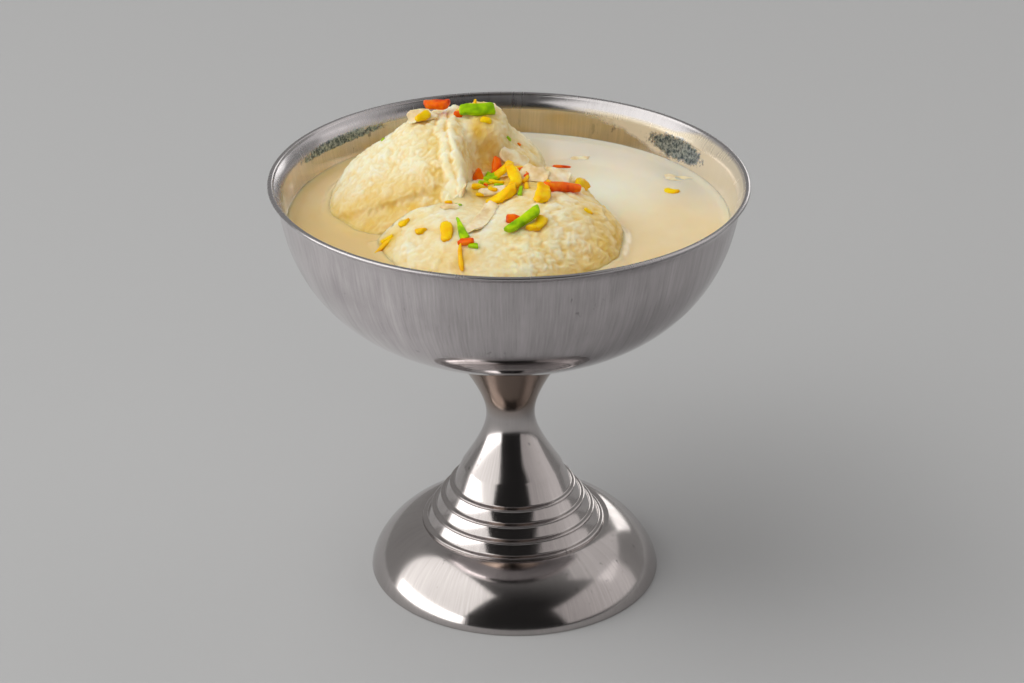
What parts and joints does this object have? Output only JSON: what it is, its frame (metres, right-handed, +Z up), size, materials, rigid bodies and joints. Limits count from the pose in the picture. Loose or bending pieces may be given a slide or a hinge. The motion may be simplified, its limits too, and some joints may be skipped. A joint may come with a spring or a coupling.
{
  "type": "rasmalai",
  "caption": "Rasmalai in a footed steel dessert cup: soft cheese dumplings lying in sweet milk, strewn with slivered nuts, candied peel and almond flakes.",
  "frame": {"origin": "middle of the foot's flat base, on the surface it stands on", "axes": "+Z up along the cup's axis, -Y towards the near side as pictured, +X to the right"},
  "size_m": [0.0958, 0.096, 0.0969],
  "materials": {
    "bowl_steel": "spun steel, satin outside and brighter inside",
    "foot_steel": "spun steel, polished",
    "milk": "smooth wet cream with a soft gloss",
    "dumpling": "moist porous fresh cheese",
    "nut_green": "moist slivered green nut",
    "peel_yellow": "glossy candied peel",
    "peel_orange": "glossy candied peel",
    "almond": "moist pale nut flake"
  },
  "bodies": {
    "root": {"bowl": "bowl_steel", "foot": "foot_steel", "milk": "milk", "dumpling_front": "dumpling", "dumpling_back": "dumpling"}
  },
  "joints": []
}
